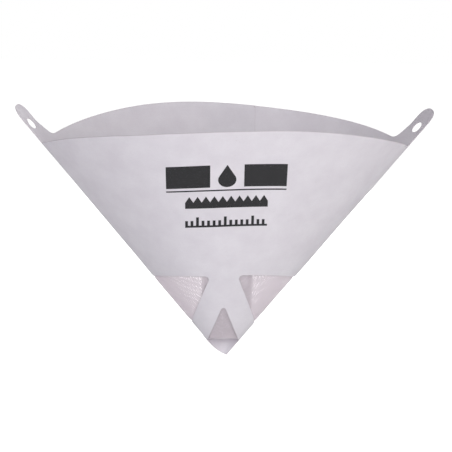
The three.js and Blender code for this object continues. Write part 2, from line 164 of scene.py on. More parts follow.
def rulings(side, depth, lean, t):
    """Unit rulings of the front (-1) or the back (1), for t from -1 (left crease) to 1 (right crease)."""
    reach = math.tan(math.radians(OPEN_HALF_ANGLE))
    radius = (reach ** 2 + depth ** 2) / (2 * depth)
    rise = np.sqrt(radius ** 2 - (reach * t) ** 2) - (radius - depth)
    found = np.stack([reach * t, side * rise * (1 + lean * np.sin(math.pi * t)), np.ones_like(t)], axis=1)
    return found / np.linalg.norm(found, axis=1, keepdims=True)


def angles_along(found):
    """Angle from the first ruling to each of them, along the panel."""
    steps = np.linalg.norm(np.diff(found, axis=0), axis=1)
    return np.concatenate([[0], np.cumsum(np.degrees(2 * np.arcsin(steps / 2)))])


def panel_rulings(side, lean, wanted):
    """Rulings at the wanted angles from the left crease. The panel's depth makes its width PANEL_ANGLE."""
    t = np.sin(math.pi * np.linspace(-0.5, 0.5, SECTION_STEPS + 1))
    low, high = LEAST_DEPTH, math.tan(math.radians(OPEN_HALF_ANGLE))
    for _ in range(HALVINGS):
        depth = (low + high) / 2
        if angles_along(rulings(side, depth, lean, t))[-1] < PANEL_ANGLE:
            low = depth
        else:
            high = depth
    along = angles_along(rulings(side, depth, lean, t))
    return rulings(side, depth, lean, np.interp(wanted, along, t))


def unit(vectors):
    return vectors / np.linalg.norm(vectors, axis=1, keepdims=True)


def panel_table(side, lean):
    """Angles round the cone, rulings and outward normals of one panel, in order of growing angle."""
    if side < 0:
        wanted = np.linspace(0, PANEL_ANGLE, PANEL_STEPS + 1)
        angles = wanted - HALF_PANEL
    else:
        flat = math.degrees(math.asin((EAR_WIDTH + FACET_SPARE) / CREASE_LENGTH))
        inner = np.linspace(flat, PANEL_ANGLE - flat, PANEL_STEPS + 1)[1:-1]
        facet = flat * FACET_SHARE
        wanted = np.concatenate([[0, facet], inner, [PANEL_ANGLE - facet, PANEL_ANGLE]])[::-1]
        angles = HALF_PANEL + PANEL_ANGLE - wanted
    found = panel_rulings(side, lean, wanted)
    normals = unit(np.cross(found[1:], found[:-1]))
    at_points = unit(np.concatenate([normals[:1], normals[1:] + normals[:-1], normals[-1:]]))
    if side > 0:  # the facet beside each crease is flat, for the ears
        at_points[1] = normals[0]
        at_points[-2] = normals[-1]
    return angles, found, at_points


FRONT = panel_table(-1, FRONT_LEAN)
BACK = panel_table(1, BACK_LEAN)


def across_table(values, angles, table):
    return np.stack([np.interp(angles, table, values[:, k]) for k in range(3)], axis=1)


def surface(angles):
    """Rulings and outward directions at angles round the cone. On a crease the direction is the mitre."""
    around = (np.asarray(angles, float) + HALF_PANEL) % TURN - HALF_PANEL
    on_front = around < HALF_PANEL
    ruling = np.where(on_front[:, None], across_table(FRONT[1], around, FRONT[0]),
                      across_table(BACK[1], around, BACK[0]))
    outward = np.where(on_front[:, None], across_table(FRONT[2], around, FRONT[0]),
                       across_table(BACK[2], around, BACK[0]))
    for crease, front_end, back_end in ((HALF_PANEL, -1, 0), (-HALF_PANEL, 0, -1)):
        a, b = FRONT[2][front_end], BACK[2][back_end]
        near = np.minimum(abs(around - crease), abs(around - crease - TURN)) < ON_CREASE
        outward[near] = (a + b) / (1 + a @ b)
    return unit(ruling), outward


def layer(angles):
    """Height of the sheet: it is one layer thick, and stands one layer further out where it comes round."""
    return LAP_STEP * np.clip((angles + HALF_PANEL) / PANEL_ANGLE, 0, 1)


def polar(points):
    points = np.asarray(points, float).reshape(-1, 2)
    return np.degrees(np.arctan2(points[:, 0], points[:, 1])), np.hypot(points[:, 0], points[:, 1])


def flat_point(angle, radius):
    return np.array([radius * math.sin(math.radians(angle)), radius * math.cos(math.radians(angle))])


def folded(points, heights):
    """Flat points folded round the cone, in millimetres from the apex, and their outward directions."""
    angles, radii = polar(points)
    ruling, outward = surface(angles)
    places = ruling * radii[:, None] + outward * (layer(angles) + heights)[:, None]
    for side in EAR_SWING:
        swing_ear(side, np.asarray(points, float), places, outward)
    return places, outward


def swing_ear(side, points, places, outward):
    """Turns an ear a little about its crease, more so further above the rim."""
    along = points @ flat_point(side * HALF_PANEL, 1)
    inset = points @ flat_point(side * (HALF_PANEL + 90), 1)
    share = np.clip((along - CREASE_LENGTH) / (EAR_RISE / 2), 0, 1)
    axis = Vector(surface([side * HALF_PANEL])[0][0])
    for i in np.flatnonzero((share > 0) & (inset > -SAME_PLACE)):
        turn = Quaternion(axis, math.radians(EAR_SWING[side]) * share[i] ** 2 * (3 - 2 * share[i]))
        places[i] = turn @ Vector(places[i])
        outward[i] = turn @ Vector(outward[i])


# Drawing in the flat

class Line:
    """A straight line, by the angle and the distance of its nearest point to the apex."""

    def __init__(self, foot, distance):
        self.foot = foot
        self.distance = distance
        self.normal = flat_point(foot, 1)

    def meet(self, other):
        return np.linalg.solve([self.normal, other.normal], [self.distance, other.distance])

    def meet_arc(self, radius, side):
        return flat_point(self.foot + side * math.degrees(math.acos(self.distance / radius)), radius)

    def meet_ray(self, angle):
        return flat_point(angle, self.distance / math.cos(math.radians(angle - self.foot)))


def beside_crease(side, along, inset):
    angle = side * (HALF_PANEL + math.degrees(math.atan2(inset, along)))
    return flat_point(angle, math.hypot(along, inset))


def corner(point, rounding=0.0):
    return np.asarray(point, float), rounding


def is_arc(a, b):
    return abs(np.hypot(*a) - np.hypot(*b)) < SAME_PLACE


def heading(a, b):
    """Direction in which the edge from a to b leaves a. Points of one radius are joined by an arc."""
    way = b - a
    if is_arc(a, b):
        along = np.array([a[1], -a[0]])
        way = along * math.copysign(1, along @ way)
    return way / np.hypot(*way)


def rounded_corner(before, at, after, rounding):
    """The points of a corner, which is a short arc where it is rounded."""
    if not rounding:
        return [at]
    a, b = heading(at, before), heading(at, after)
    half = math.acos(np.clip(a @ b, -1, 1)) / 2
    centre = at + (a + b) / np.hypot(*(a + b)) * rounding / math.sin(half)
    start = at + a * rounding / math.tan(half) - centre
    end = at + b * rounding / math.tan(half) - centre
    sweep = math.atan2(start[0] * end[1] - start[1] * end[0], start @ end)
    turns = np.linspace(0, sweep, ROUND_STEPS + 1)
    return [centre + [start[0] * math.cos(t) - start[1] * math.sin(t),
                      start[0] * math.sin(t) + start[1] * math.cos(t)] for t in turns]


def edge_points(a, b, arc):
    """Points from a up to, not including, b."""
    count = max(1, math.ceil(np.hypot(*(b - a)) / EDGE_STEP))
    share = np.linspace(0, 1, count, endpoint=False)
    if not arc:
        return [a + (b - a) * s for s in share]
    (from_angle, to_angle), (radius, _) = polar([a, b])
    return [flat_point(from_angle + (to_angle - from_angle) * s, radius) for s in share]


def outline(corners):
    """Closed loop through the corners."""
    points = [at for at, _ in corners]
    runs = [rounded_corner(points[i - 1], at, points[(i + 1) % len(points)], rounding)
            for i, (at, rounding) in enumerate(corners)]
    loop = []
    for i, run in enumerate(runs):
        loop += run[:-1]
        arc = is_arc(points[i], points[(i + 1) % len(points)])
        loop += edge_points(run[-1], runs[(i + 1) % len(runs)][0], arc)
    return np.array(loop)


def notch_edge(side):
    return Line(CENTRE_LINE + side * (90 - LEG_ANGLE), NOTCH_PEAK * math.sin(math.radians(LEG_ANGLE)))


def leg_edge(side):
    inner = notch_edge(side)
    return Line(inner.foot, inner.distance + LEG_WIDTH)


def band_edge(side):
    return Line(CENTRE_LINE + side * (PANEL_ANGLE - 90), LAP_LEFT if side < 0 else LAP_RIGHT)


def free_edge(side):
    return Line(CENTRE_LINE + side * (PANEL_ANGLE + 90), LAP_RIGHT if side < 0 else LAP_LEFT)


SQUARE_END = Line(CENTRE_LINE - PANEL_ANGLE, INNER_LAYER_END)


def ear_corners(side):
    top = CREASE_LENGTH + EAR_RISE
    foot = math.sqrt(CREASE_LENGTH ** 2 - EAR_WIDTH ** 2)
    corners = [
        corner(beside_crease(side, foot, EAR_WIDTH), EAR_FILLET),
        corner(beside_crease(side, top, EAR_WIDTH), EAR_ROUND),
        corner(beside_crease(side, top, 0), EAR_ROUND),
        corner(flat_point(side * HALF_PANEL, CREASE_LENGTH)),
    ]
    return corners if side < 0 else corners[::-1]


def blank_outline():
    trimmed = TURN - HALF_PANEL - TIP_TRIM
    return outline([
        corner(SQUARE_END.meet_ray(-trimmed)),
        corner(free_edge(-1).meet_ray(-trimmed)),
        corner(free_edge(-1).meet_arc(CREASE_LENGTH, 1)),
        *ear_corners(-1),
        *ear_corners(1),
        corner(free_edge(1).meet_arc(CREASE_LENGTH, -1)),
        corner(free_edge(1).meet_ray(trimmed)),
        corner(flat_point(trimmed, TIP_CUT_RADIUS)),
        corner(flat_point(HALF_PANEL, TIP_RADIUS)),
        corner(notch_edge(1).meet_ray(HALF_PANEL)),
        corner(flat_point(CENTRE_LINE, NOTCH_PEAK), NOTCH_ROUND),
        corner(notch_edge(-1).meet(SQUARE_END)),
    ])


def window_outline(side):
    return outline([
        corner(leg_edge(side).meet_arc(WINDOW_TOP, -side), WINDOW_ROUND),
        corner(leg_edge(side).meet(band_edge(side)), WINDOW_ROUND),
        corner(band_edge(side).meet_arc(WINDOW_TOP, side), WINDOW_ROUND),
    ])


def hole_outline(side):
    centre = beside_crease(side, CREASE_LENGTH + HOLE_RISE, HOLE_INSET)
    turns = np.linspace(0, 2 * math.pi, HOLE_STEPS, endpoint=False)
    return centre + HOLE_RADIUS * np.stack([np.cos(turns), np.sin(turns)], axis=1)


# Print, drawn by the distance from its middle and the radius about the apex

def print_loop(points):
    middle = [(across + PRINT_SHIFT, radius) for across, radius in points]
    return outline([corner(flat_point(CENTRE_LINE + math.degrees(math.asin(x / r)), r)) for x, r in middle])


def rectangle(left, right, base, height):
    return print_loop([(left, base), (right, base), (right, base + height), (left, base + height)])


def drop(base):
    """A point above a round belly."""
    centre, peak = base + DROP_RADIUS, MARK_HEIGHT - DROP_RADIUS
    touch = math.acos(DROP_RADIUS / peak)
    turns = np.linspace(touch, 2 * math.pi - touch, BELLY_STEPS + 1)
    belly = [(-DROP_RADIUS * math.sin(a), centre + DROP_RADIUS * math.cos(a)) for a in turns]
    return print_loop([(0, centre + peak), *belly])


def toothed_band(base):
    tooth = LINE_WIDTH / BAND_TEETH
    points = [(LINE_WIDTH / 2, base), (-LINE_WIDTH / 2, base)]
    for i in range(BAND_TEETH):
        x = i * tooth - LINE_WIDTH / 2
        points += [(x, base + BAND_HEIGHT / 2), (x + tooth / 2, base + BAND_HEIGHT)]
    return print_loop([*points, (LINE_WIDTH / 2, base + BAND_HEIGHT / 2)])


def tick_scale(base):
    pitch, stem = LINE_WIDTH / TICK_COUNT, base + SCALE_STEM
    points = [(LINE_WIDTH / 2, base), (-LINE_WIDTH / 2, base)]
    for i in range(TICK_COUNT):
        x = i * pitch - LINE_WIDTH / 2
        top = base + SCALE_HEIGHT * (1 if i % TICK_GROUP == TICK_GROUP // 2 else SHORT_TICK)
        points += [(x, top), (x + pitch / 2, top), (x + pitch / 2, stem), (x + pitch, stem)]
    return print_loop(points)


def print_outlines():
    marks = CREASE_LENGTH - PRINT_DROP - MARK_HEIGHT
    rule = marks - RULE_GAP - RULE_HEIGHT
    band = rule - BAND_GAP - BAND_HEIGHT
    return {
        "printed_bar_left": rectangle(-BAR_REACH, BAR_WIDTH - BAR_REACH, marks, MARK_HEIGHT),
        "printed_bar_right": rectangle(BAR_REACH - BAR_WIDTH, BAR_REACH, marks, MARK_HEIGHT),
        "printed_drop": drop(marks),
        "printed_rule": rectangle(-BAR_REACH, BAR_REACH, rule, RULE_HEIGHT),
        "printed_band": toothed_band(band),
        "printed_scale": tick_scale(band - SCALE_GAP - SCALE_HEIGHT),
    }


# Flat meshes

def inside(points, loops):
    """Which points are material, by the even-odd rule."""
    points = np.asarray(points, float).reshape(-1, 2)
    found = np.zeros(len(points), bool)
    for loop in loops:
        for a, b in zip(loop, np.roll(loop, -1, axis=0)):
            if a[1] == b[1]:
                continue
            crosses = (a[1] > points[:, 1]) != (b[1] > points[:, 1])
            x = a[0] + (points[:, 1] - a[1]) / (b[1] - a[1]) * (b[0] - a[0])
            found ^= crosses & (points[:, 0] < x)
    return found


def distance_to(points, loops):
    """Distance of each point to the nearest edge of the loops."""
    nearest = np.full(len(points), np.inf)
    for loop in loops:
        for a, b in zip(loop, np.roll(loop, -1, axis=0)):
            way = b - a
            share = np.clip((points - a) @ way / (way @ way), 0, 1)
            nearest = np.minimum(nearest, np.linalg.norm(points - a - share[:, None] * way, axis=1))
    return nearest


def crease_distance(points):
    """Distance of each point to the nearer crease."""
    return np.min([abs(points @ flat_point(side * HALF_PANEL + 90, 1)) for side in (-1, 1)], axis=0)


def grid_points(loops, step):
    """Points on rings about the apex, clear of the edges and of the creases."""
    every = np.concatenate(loops)
    angles, radii = polar(every)
    found = []
    for radius in np.arange(step, radii.max(), step):
        share = math.degrees(step / radius)
        found += [flat_point(a, radius) for a in np.arange(angles.min(), angles.max(), share)]
    found = np.array(found)
    found = found[inside(found, loops)]
    gap = EDGE_GAP * step
    return found[(distance_to(found, loops) > gap) & (crease_distance(found) > CREASE_STRIP + gap)]


def crease_lines(loops):
    """Chains of points along each crease and along both sides of it, where there is material."""
    chains = []
    radii = np.arange(TIP_RADIUS, CREASE_LENGTH + EAR_RISE, GRID_STEP)[:, None]
    for side in (-1, 1):
        along = flat_point(side * HALF_PANEL, 1)
        across = np.array([along[1], -along[0]])
        for offset in (-CREASE_STRIP, 0, CREASE_STRIP):
            line = radii * along + offset * across
            keep = inside(line, loops) & (distance_to(line, loops) > CREASE_END)
            chains.append((line, keep))
    return chains


def flat_mesh(loops, step, creased=False):
    """Triangles that fill the loops."""
    points, edges = [], []
    for loop in loops:
        start = len(points)
        points += list(loop)
        edges += [(start + i, start + (i + 1) % len(loop)) for i in range(len(loop))]
    if creased:
        for line, keep in crease_lines(loops):
            for i in range(len(line) - 1):
                if keep[i] and keep[i + 1]:
                    edges.append((len(points) + i, len(points) + i + 1))
            points += list(line)
    points += list(grid_points(loops, step))
    done = delaunay_2d_cdt([Vector(p) for p in points], edges, [], 0, SAME_POINT)
    verts, faces = np.array(done[0]), np.array(done[2])
    faces = faces[inside(verts[faces].mean(axis=1), loops)]
    used = np.unique(faces)
    order = np.full(len(verts), -1)
    order[used] = np.arange(len(used))
    return verts[used], order[faces]


def apex_place():
    """The apex in the row frame, in millimetres. The origin is midway between the two hole centres."""
    holes = [beside_crease(side, CREASE_LENGTH + HOLE_RISE, HOLE_INSET) for side in (-1, 1)]
    return -folded(holes, 0)[0].mean(axis=0)


APEX = apex_place()


def add_attribute(mesh, name, values):
    kind, field = ("FLOAT_VECTOR", "vector") if np.ndim(values) == 2 else ("FLOAT", "value")
    attribute = mesh.attributes.new(name, kind, "POINT")
    attribute.data.foreach_set(field, np.asarray(values, np.float32).ravel())


def folded_mesh(name, flat, faces, edges, heights, shaped=None):
    """The mesh of flat points folded round the cone, with what the node groups and materials read of it."""
    places, outward = folded(flat, heights)
    if shaped:
        places = shaped(places, flat)
    mesh = bpy.data.meshes.new(name)
    mesh.from_pydata((places + APEX) * MM, edges, faces)
    add_attribute(mesh, "outward", outward)
    add_attribute(mesh, "flat", np.column_stack([flat, np.zeros(len(flat))]))
    return mesh


# Nodes

def linear(code):
    """sRGB hex to a linear colour."""
    parts = [int(code[i:i + 2], 16) / 255 for i in (1, 3, 5)]
    return (*[c / 12.92 if c <= 0.04045 else ((c + 0.055) / 1.055) ** 2.4 for c in parts], 1)


def add_node(tree, kind, inputs=None, **settings):
    """Adds a node. Each input, by name or number, is a value, a socket, or a node by its first output."""
    node = tree.nodes.new(kind)
    for name, value in settings.items():
        setattr(node, name, value)
    for name, value in (inputs or {}).items():
        source = value.outputs[0] if isinstance(value, bpy.types.Node) else value
        if isinstance(source, bpy.types.NodeSocket):
            tree.links.new(source, node.inputs[name])
        else:
            node.inputs[name].default_value = source
    return node


def node_group(name, numbers):
    """A geometry group with a Geometry socket, a Material socket and the named numbers as inputs."""
    tree = bpy.data.node_groups.new(name, "GeometryNodeTree")
    tree.interface.new_socket("Geometry", in_out="INPUT", socket_type="NodeSocketGeometry")
    tree.interface.new_socket("Material", in_out="INPUT", socket_type="NodeSocketMaterial")
    for number in numbers:
        tree.interface.new_socket(number, in_out="INPUT", socket_type="NodeSocketFloat")
    tree.interface.new_socket("Geometry", in_out="OUTPUT", socket_type="NodeSocketGeometry")
    return tree, add_node(tree, "NodeGroupInput").outputs


def end_group(tree, geometry, material):
    """Gives the geometry its material and hands it out."""
    painted = add_node(tree, "GeometryNodeSetMaterial", {"Geometry": geometry, "Material": material})
    add_node(tree, "NodeGroupOutput", {"Geometry": painted})
    return tree


def moved_out(tree, geometry, height, selection=True):
    """Moves points along the sheet's outward direction."""
    outward = add_node(tree, "GeometryNodeInputNamedAttribute", {"Name": "outward"},
                       data_type="FLOAT_VECTOR")
    offset = add_node(tree, "ShaderNodeVectorMath",
                      {0: outward.outputs["Attribute"], "Scale": height}, operation="SCALE")
    return add_node(tree, "GeometryNodeSetPosition",
                    {"Geometry": geometry, "Offset": offset, "Selection": selection})


def waved(tree, geometry, height, size):
    """Slow waves across the whole cone, which all its pieces share."""
    place = add_node(tree, "GeometryNodeInputPosition")
    scale = add_node(tree, "ShaderNodeMath", {0: 1.0, 1: size}, operation="DIVIDE")
    swell = add_node(tree, "ShaderNodeTexNoise", {"Vector": place, "Scale": scale, "Detail": 1.0})
    centred = add_node(tree, "ShaderNodeMath", {0: swell, 1: 0.5}, operation="SUBTRACT")
    lift = add_node(tree, "ShaderNodeMath", {0: centred, 1: height}, operation="MULTIPLY")
    return moved_out(tree, geometry, lift)


def thickened(tree, surface, thickness):
    """A closed sheet with the surface in its middle: an outer side, cut edges and a turned inner side."""
    down = add_node(tree, "ShaderNodeMath", {0: thickness, 1: -0.5}, operation="MULTIPLY")
    lower = moved_out(tree, surface, down)
    walls = add_node(tree, "GeometryNodeExtrudeMesh",
                     {"Mesh": lower, "Offset Scale": 0.0, "Individual": False}, mode="FACES")
    upper = moved_out(tree, walls.outputs["Mesh"], thickness, walls.outputs["Top"])
    turned = add_node(tree, "GeometryNodeFlipFaces", {"Mesh": lower})
    joined = add_node(tree, "GeometryNodeJoinGeometry", {0: upper})
    tree.links.new(turned.outputs[0], joined.inputs[0])
    return add_node(tree, "GeometryNodeMergeByDistance",
                    {"Geometry": joined, "Distance": SAME_CORNER * MM})


def sheet_group():
    """Gives a folded surface its waves and its thickness, with sharp cut edges."""
    tree, given = node_group("Sheet", ["Thickness", "Wave height", "Wave size"])
    wavy = waved(tree, given["Geometry"], given["Wave height"], given["Wave size"])
    smooth = add_node(tree, "GeometryNodeSetShadeSmooth",
                      {"Geometry": thickened(tree, wavy, given["Thickness"])})
    bend = add_node(tree, "GeometryNodeInputMeshEdgeAngle").outputs["Unsigned Angle"]
    is_cut = add_node(tree, "FunctionNodeCompare", {0: bend, 1: CUT_BEND}, operation="GREATER_THAN")
    sharp = add_node(tree, "GeometryNodeStoreNamedAttribute",
                     {"Geometry": smooth, "Name": "sharp_edge", "Value": is_cut},
                     data_type="BOOLEAN", domain="EDGE")
    return end_group(tree, sharp, given["Material"])


def weave_group():
    """Lays each thread over and under those that it crosses, and gives it its thickness."""
    tree, given = node_group("Weave", ["Thread radius", "Weave height", "Wave height", "Wave size"])
    wavy = waved(tree, given["Geometry"], given["Wave height"], given["Wave size"])
    over = add_node(tree, "GeometryNodeInputNamedAttribute", {"Name": "over"}, data_type="FLOAT")
    lift = add_node(tree, "ShaderNodeMath",
                    {0: over.outputs["Attribute"], 1: given["Weave height"]}, operation="MULTIPLY")
    curve = add_node(tree, "GeometryNodeMeshToCurve", {"Mesh": moved_out(tree, wavy, lift)})
    profile = add_node(tree, "GeometryNodeCurvePrimitiveCircle",
                       {"Resolution": THREAD_SIDES, "Radius": given["Thread radius"]})
    thread = add_node(tree, "GeometryNodeCurveToMesh",
                      {"Curve": curve, "Profile Curve": profile, "Fill Caps": True})
    real = add_node(tree, "GeometryNodeRealizeInstances", {"Geometry": thread})
    smooth = add_node(tree, "GeometryNodeSetShadeSmooth", {"Geometry": real})
    return end_group(tree, smooth, given["Material"])


def made_by(tree, mesh, material, numbers):
    """The object that a node group makes of a mesh, as a plain mesh."""
    obj = bpy.data.objects.new(mesh.name, mesh)
    bpy.context.scene.collection.objects.link(obj)
    modifier = obj.modifiers.new(tree.name, "NODES")
    modifier.node_group = tree
    sockets = {item.name: item.identifier for item in tree.interface.items_tree if item.in_out == "INPUT"}
    modifier[sockets["Material"]] = material
    for name, millimetres in numbers.items():
        modifier[sockets[name]] = millimetres * MM
    bpy.context.view_layer.update()
    ready = obj.evaluated_get(bpy.context.evaluated_depsgraph_get())
    result = bpy.data.meshes.new_from_object(ready)
    obj.modifiers.remove(modifier)
    obj.data = result
    result.name = mesh.name
    return obj


# Materials

# Patterns of the card and the ink, by the size of what they show in millimetres on the flat sheet.
# Fibres, grain and pinholes are drawn coarser than real ones, so that they show.
CLOUDS = {"Scale": 1 / 14.3, "Detail": 3.0, "Roughness": 0.6}
FIBRES = {"Scale": 1 / 0.909, "Detail": 6.0, "Roughness": 0.7, "Distortion": 2.5}
GRAIN = {"Scale": 1 / 0.417, "Detail": 2.0, "Roughness": 0.6}
FLECKS = {"Scale": 1 / 1.11, "Detail": 2.0, "Roughness": 0.6}
PINHOLES = {"Scale": 1 / 0.3125, "Detail": 3.0, "Roughness": 0.6}
CARD_RELIEF = 0.02
INK_RELIEF = 0.03
RELIEF_STRENGTH = 0.5

# Patterns of the nylon, by the size of what they show in space
MOTTLE = {"Scale": 1 / (5.56 * MM), "Detail": 3.0, "Roughness": 0.6}
SHEEN = {"Scale": 1 / (0.4 * MM), "Detail": 4.0, "Roughness": 0.6}


def new_material(name):
    material = bpy.data.materials.new(name)
    material.use_nodes = True
    tree = material.node_tree
    tree.nodes.clear()
    return material, tree


def tinted(tree, tone, value, shown, shares, code):
    """The tone with a tint, whose share runs from first to last as the value crosses the shown range."""
    share = add_node(tree, "ShaderNodeMapRange", {
        "Value": value, "From Min": shown[0], "From Max": shown[1], "To Min": shares[0], "To Max": shares[1],
    })
    return add_node(tree, "ShaderNodeMix", {0: share, 6: tone, 7: linear(code)}, data_type="RGBA").outputs[2]


def card_tone(tree, place, fibres):
    """Patches, fibres and flecks, whitened along the creases and greyer where the card is cut."""
    clouds = add_node(tree, "ShaderNodeTexNoise", {"Vector": place, **CLOUDS})
    flecks = add_node(tree, "ShaderNodeTexNoise", {"Vector": place, **FLECKS})
    crease = add_node(tree, "ShaderNodeAttribute", attribute_name="crease").outputs["Fac"]
    edge = add_node(tree, "ShaderNodeAttribute", attribute_name="edge").outputs["Fac"]
    tone = tinted(tree, linear("#e6e4ea"), clouds, (0.35, 0.65), (0.0, 1.0), "#dfdce3")
    tone = tinted(tree, tone, fibres, (0.45, 0.75), (0.0, 0.35), "#cfc8cf")
    tone = tinted(tree, tone, flecks, (0.70, 0.76), (0.0, 0.25), "#b9aea6")
    tone = tinted(tree, tone, crease, (0.2, 1.1), (0.55, 0.0), "#f0eef2")
    return tinted(tree, tone, edge, (0.0, 0.35), (0.6, 0.0), "#c2bac0")


def card_material():
    """Uncoated filter card, felted from fibres: matt and cloudy, and it lets a little light through."""
    material, tree = new_material("uncoated_filter_card")
    place = add_node(tree, "ShaderNodeAttribute", attribute_name="flat").outputs["Vector"]
    fibres = add_node(tree, "ShaderNodeTexNoise", {"Vector": place, **FIBRES})
    grain = add_node(tree, "ShaderNodeTexNoise", {"Vector": place, **GRAIN})
    relief = add_node(tree, "ShaderNodeMath", {0: fibres, 1: grain}, operation="ADD")
    bump = add_node(tree, "ShaderNodeBump",
                    {"Height": relief, "Strength": RELIEF_STRENGTH, "Distance": CARD_RELIEF * MM})
    card = add_node(tree, "ShaderNodeBsdfPrincipled", {
        "Base Color": card_tone(tree, place, fibres), "Roughness": 0.86, "Specular IOR Level": 0.3,
        "Normal": bump,
    })
    glow = add_node(tree, "ShaderNodeBsdfTranslucent", {"Color": linear("#e6d6da"), "Normal": bump})
    both = add_node(tree, "ShaderNodeMixShader", {0: 0.14, 1: card, 2: glow})
    add_node(tree, "ShaderNodeOutputMaterial", {"Surface": both})
    return material


def nylon_material():
    """Nylon monofilament, drawn and woven: milky, softly glossy threads that let some light through.

    The clear share stands for the light that passes between the finer threads of a real weave.
    """
    material, tree = new_material("nylon_monofilament")
    place = add_node(tree, "ShaderNodeTexCoord").outputs["Object"]
    mottle = add_node(tree, "ShaderNodeTexNoise", {"Vector": place, **MOTTLE})
    tone = tinted(tree, linear("#fbf9fb"), mottle, (0.35, 0.65), (0.0, 1.0), "#f3f0f3")
    sheen = add_node(tree, "ShaderNodeTexNoise", {"Vector": place, **SHEEN})
    roughness = add_node(tree, "ShaderNodeMapRange", {
        "Value": sheen, "From Min": 0.3, "From Max": 0.7, "To Min": 0.6, "To Max": 0.8,
    })
    thread = add_node(tree, "ShaderNodeBsdfPrincipled", {"Base Color": tone, "Roughness": roughness})
    glow = add_node(tree, "ShaderNodeBsdfTranslucent", {"Color": linear("#fbf7fa")})
    milky = add_node(tree, "ShaderNodeMixShader", {0: 0.45, 1: thread, 2: glow})
    clear = add_node(tree, "ShaderNodeBsdfTransparent", {"Color": linear("#fffcfe")})
    both = add_node(tree, "ShaderNodeMixShader", {0: 0.45, 1: milky, 2: clear})
    add_node(tree, "ShaderNodeOutputMaterial", {"Surface": both})
    return material


def ink_material():
    """Black printing ink: matt, a little thin where the card's fibres stand up, with fine pinholes."""
    material, tree = new_material("black_printing_ink")
    place = add_node(tree, "ShaderNodeAttribute", attribute_name="flat").outputs["Vector"]
    fibres = add_node(tree, "ShaderNodeTexNoise", {"Vector": place, **FIBRES})
    pinholes = add_node(tree, "ShaderNodeTexNoise", {"Vector": place, **PINHOLES})
    tone = tinted(tree, linear("#232325"), fibres, (0.50, 0.80), (0.0, 0.45), "#55535a")
    tone = tinted(tree, tone, pinholes, (0.66, 0.72), (0.0, 1.0), "#a9a5ac")
    bump = add_node(tree, "ShaderNodeBump",
                    {"Height": fibres, "Strength": RELIEF_STRENGTH, "Distance": INK_RELIEF * MM})
    ink = add_node(tree, "ShaderNodeBsdfPrincipled", {
        "Base Color": tone, "Roughness": 0.62, "Specular IOR Level": 0.35, "Normal": bump,
    })
    add_node(tree, "ShaderNodeOutputMaterial", {"Surface": ink})
    return material


# Pieces

def finish_piece(obj, material_slot, *nodes):
    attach(obj, "root")
    if nodes:
        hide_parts(*nodes)
    return obj


def make_sheet(name, loops, step, thickness, height, material, creased=False):
    flat, faces = flat_mesh(loops, step, creased)
    mesh = folded_mesh(name, flat, faces.tolist(), [], height)
    add_attribute(mesh, "edge", distance_to(flat, loops))
    add_attribute(mesh, "crease", crease_distance(flat))
    numbers = {"Thickness": thickness, "Wave height": WAVE_HEIGHT, "Wave size": WAVE_SIZE}
    return made_by(SHEET, mesh, material, numbers)


def make_card():
    loops = [blank_outline()] + [form(side) for form in (window_outline, hole_outline) for side in (-1, 1)]
    card = make_sheet("filter_card", loops, GRID_STEP, PAPER_THICKNESS, 0.0, CARD, creased=True)
    return finish_piece(card, "paper", "paper_cone")


def make_print():
    height = PAPER_THICKNESS / 2 + INK_RISE + INK_THICKNESS / 2
    for node, loop in print_outlines().items():
        name = "ink_" + node.removeprefix("printed_")
        ink = make_sheet(name, [loop], PRINT_STEP, INK_THICKNESS, height, INK)
        finish_piece(ink, "ink", node)


def thread_runs(lengthwise):
    """Flat threads of one direction, cut to the sector of the gauze: lists of points and grid places."""
    reach = math.ceil(GAUZE_TOP / THREAD_PITCH)
    runs = []
    for i in range(-reach, reach):
        run = []
        for j in range(-reach, reach + 1):
            across, along = (i + 0.5) * THREAD_PITCH, (j + 0.5) * THREAD_PITCH
            point = np.array([across, along] if lengthwise else [along, across])
            angle, radius = (v[0] for v in polar(point))
            if GAUZE_END < radius < GAUZE_TOP and abs(angle) < PANEL_ANGLE:
                run.append((point, i + j))
            elif run:
                runs.append(run)
                run = []
        if run:
            runs.append(run)
    return [run for run in runs if len(run) > 1]


def gauze_height(points):
    """The gauze lies under the paper and comes out flush with it in the windows."""
    windows = [window_outline(side) for side in (-1, 1)]
    rise = np.clip(distance_to(points, windows) / GAUZE_RISE, 0, 1) * inside(points, windows)
    return GAUZE_HEIGHT + GAUZE_FLUSH * rise * rise * (3 - 2 * rise) - layer(polar(points)[0])


def gathered(places, flat):
    """The lowest part of the gauze, gathered into a blunt closed end."""
    radii = polar(flat)[1][:, None]
    middle = np.array([0, 0, GAUZE_TIP_HEIGHT])
    blunt = middle + (places * GAUZE_TIP / radii - middle) * radii / GAUZE_TIP
    return np.where(radii < GAUZE_TIP, blunt, places)


def make_threads(name, lengthwise):
    points, over, edges = [], [], []
    for run in thread_runs(lengthwise):
        edges += [(len(points) + k, len(points) + k + 1) for k in range(len(run) - 1)]
        points += [point for point, _ in run]
        over += [1.0 if (place % 2 == 0) == lengthwise else -1.0 for _, place in run]
    points = np.array(points)
    mesh = folded_mesh(name, points, [], edges, gauze_height(points), gathered)
    add_attribute(mesh, "over", over)
    numbers = {"Thread radius": THREAD_RADIUS, "Weave height": WEAVE_HEIGHT,
               "Wave height": WAVE_HEIGHT, "Wave size": WAVE_SIZE}
    return made_by(WEAVE, mesh, NYLON, numbers)


def make_gauze(card):
    warp = finish_piece(make_threads("gauze_warp", True), "gauze", "filter_gauze")
    weft = finish_piece(make_threads("gauze_weft", False), "gauze")


# Stage, in metres

FLOOR_DROP = 0.12               # below the tip
FLOOR_REACH = 4.0
GLOW_REACH = (0.3, 0.7)         # distances from the object between which the floor's own white grows
GLOW_STRENGTH = (0.6, 0.85)
SKY_STRENGTH = 0.27
LAMP_AIM = (0, 0, -0.05)

